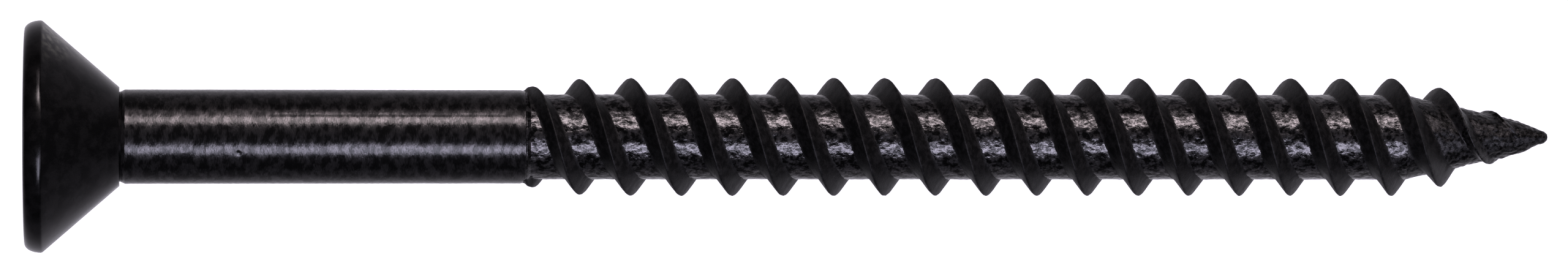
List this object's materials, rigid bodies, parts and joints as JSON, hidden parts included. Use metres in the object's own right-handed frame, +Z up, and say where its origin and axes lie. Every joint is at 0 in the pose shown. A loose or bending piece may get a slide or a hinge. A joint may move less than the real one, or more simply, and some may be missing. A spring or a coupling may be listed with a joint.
{
  "type": "wood screw",
  "caption": "Countersunk wood screw with a cross recess, plain shank, coarse double thread and gimlet point.",
  "frame": {"origin": "centre of the head's flat face, where the driver goes in", "axes": "+X along the screw's axis, from the head to the tip; +Z up, with the screw lying on its side"},
  "size_m": [0.0635, 0.0096, 0.0096],
  "materials": {
    "black_steel": "satin black phosphate and oil on rolled steel"
  },
  "bodies": {
    "root": {"head": "black_steel", "plain_shank": "black_steel", "thread_shoulder": "black_steel", "threaded_core": "black_steel", "thread_ridge_a": "black_steel", "thread_ridge_b": "black_steel", "gimlet_point": "black_steel"}
  },
  "joints": []
}
